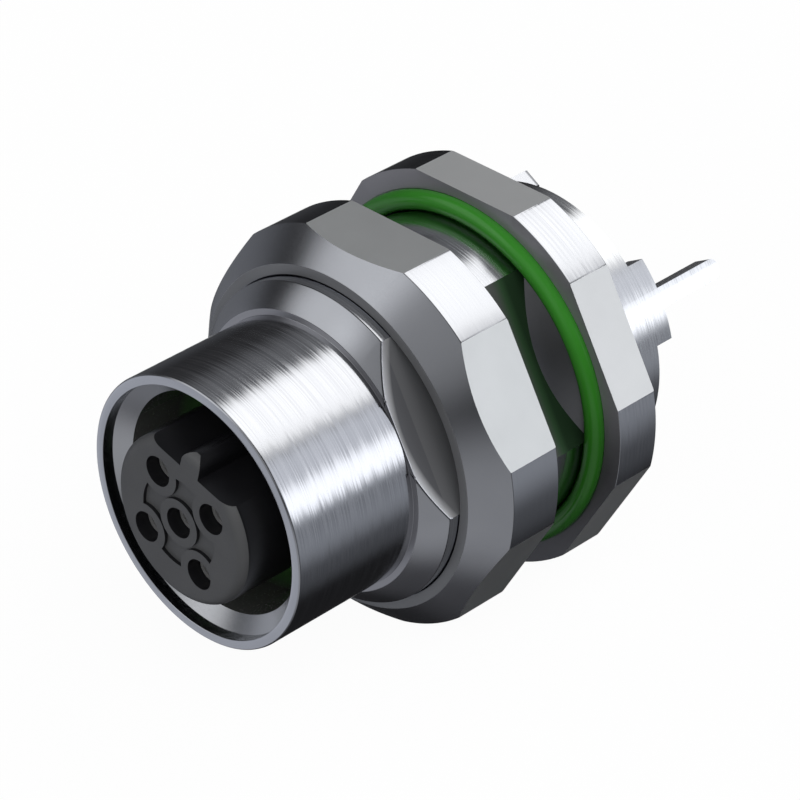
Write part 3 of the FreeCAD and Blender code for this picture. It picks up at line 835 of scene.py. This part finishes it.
def buildFloor(look):
    bm = bmesh.new()
    bmesh.ops.create_grid(bm, x_segments=2, y_segments=2, size=look["half"])
    bmesh.ops.translate(bm, verts=bm.verts[:], vec=(0, 0, look["height"]))
    mesh = bpy.data.meshes.new("floor")
    bm.to_mesh(mesh)
    bm.free()
    floor = bpy.data.objects.new("floor", mesh)
    bpy.context.scene.collection.objects.link(floor)
    # the undersides stay dark, as the photo has them
    floor.visible_glossy = False
    floor.visible_diffuse = False
    material, tree, shader = newMaterial("paleFloor", Roughness=0.9)
    grain = placeGroup(tree, fineGrain, Grains_per_mm=0.05, Drift_per_mm=0.01)
    tone = ranged(tree, grain.outputs["Drift"], 0.0, 1.0)
    tree.links.new(blended(tree, tone, look["dark"], look["light"]), shader.inputs["Base Color"])
    # the camera sees it nearly as bright as the backdrop
    rays = tree.nodes.new("ShaderNodeLightPath")
    glow = tree.nodes.new("ShaderNodeEmission")
    mixer = tree.nodes.new("ShaderNodeMixShader")
    share = calculate(tree, "MULTIPLY", rays.outputs["Is Camera Ray"], look["glow"])
    tree.links.new(share, mixer.inputs["Fac"])
    tree.links.new(shader.outputs[0], mixer.inputs[1])
    tree.links.new(glow.outputs[0], mixer.inputs[2])
    tree.links.new(mixer.outputs[0], tree.nodes["Material Output"].inputs["Surface"])
    mesh.materials.append(material)


def skyPatch(sky, direction, name, aim, start, full):
    # one where the direction is at the patch, fading to nothing at its edge
    lean = sky.nodes.new("ShaderNodeVectorMath")
    lean.operation = "DOT_PRODUCT"
    lean.inputs[1].default_value = Vector(aim).normalized()
    sky.links.new(direction, lean.inputs[0])
    edge = sky.nodes.new("ShaderNodeMapRange")
    edge.interpolation_type = "SMOOTHSTEP"
    edge.label = name
    edge.inputs["From Min"].default_value = start
    edge.inputs["From Max"].default_value = full
    sky.links.new(lean.outputs["Value"], edge.inputs["Value"])
    return edge.outputs[0]


def buildSky(look):
    world = bpy.data.worlds.new("studioWorld")
    bpy.context.scene.world = world
    world.use_nodes = True
    sky = world.node_tree
    sky.nodes.clear()
    direction = sky.nodes.new("ShaderNodeTexCoord").outputs["Generated"]
    total = None
    for name, aim, start, full, light in look["panels"]:
        tint = sky.nodes.new("ShaderNodeVectorMath")
        tint.operation = "SCALE"
        tint.inputs[0].default_value = light
        sky.links.new(skyPatch(sky, direction, name, aim, start, full), tint.inputs["Scale"])
        join = sky.nodes.new("ShaderNodeVectorMath")
        sky.links.new(tint.outputs[0], join.inputs[0])
        if total is None:
            join.inputs[1].default_value = look["base"]
        else:
            sky.links.new(total, join.inputs[1])
        total = join.outputs[0]
    panels = sky.nodes.new("ShaderNodeBackground")
    sky.links.new(total, panels.inputs["Color"])
    # the camera sees plain white, and the metal sees it behind the object
    white = sky.nodes.new("ShaderNodeBackground")
    white.inputs["Color"].default_value = (1, 1, 1, 1)
    rays = sky.nodes.new("ShaderNodeLightPath").outputs
    seen = calculate(sky, "MAXIMUM", rays["Is Camera Ray"], rays["Is Transmission Ray"])
    backdrop = skyPatch(sky, direction, "backdrop", *look["backdrop"])
    mirrored = calculate(sky, "MULTIPLY", backdrop, rays["Is Glossy Ray"])
    mixer = sky.nodes.new("ShaderNodeMixShader")
    sky.links.new(calculate(sky, "MAXIMUM", seen, mirrored), mixer.inputs["Fac"])
    sky.links.new(panels.outputs[0], mixer.inputs[1])
    sky.links.new(white.outputs[0], mixer.inputs[2])
    output = sky.nodes.new("ShaderNodeOutputWorld")
    sky.links.new(mixer.outputs[0], output.inputs["Surface"])


def buildLamps(look):
    for name, aim, light in look["lamps"]:
        data = bpy.data.lights.new(name, "SUN")
        data.energy = light
        data.angle = math.radians(look["lampAngle"])
        lamp = bpy.data.objects.new(name, data)
        lamp.matrix_world = Vector(aim).to_track_quat("Z", "Y").to_matrix().to_4x4()
        bpy.context.scene.collection.objects.link(lamp)
        lamp.visible_glossy = False  # the panels alone show in the metal


buildFloor(studio["floor"])
buildSky(studio)
buildLamps(studio)
print("studio ready")


# camera at the photo's angle

cameraLook = {
    "place": (103.741 * mm, -107.56 * mm, 95.116 * mm),
    "right": (0.704884, 0.709312, -0.003919),
    "up": (-0.382983, 0.385231, 0.839596),
    "lens": 169.45,
    "shift": (0.0161, -0.0053),
}
camera = bpy.data.objects.new("camera", bpy.data.cameras.new("camera"))
bpy.context.scene.collection.objects.link(camera)
right = Vector(cameraLook["right"]).normalized()
back = right.cross(Vector(cameraLook["up"])).normalized()
turn = Matrix((right, back.cross(right), back)).transposed()
camera.matrix_world = Matrix.Translation(cameraLook["place"]) @ turn.to_4x4()
camera.data.lens = cameraLook["lens"]
camera.data.sensor_width = 36
camera.data.shift_x, camera.data.shift_y = cameraLook["shift"]
camera.data.clip_start = 1 * mm
camera.data.clip_end = 10
bpy.context.scene.camera = camera
bpy.context.scene.view_settings.view_transform = "Standard"
print("camera ready")
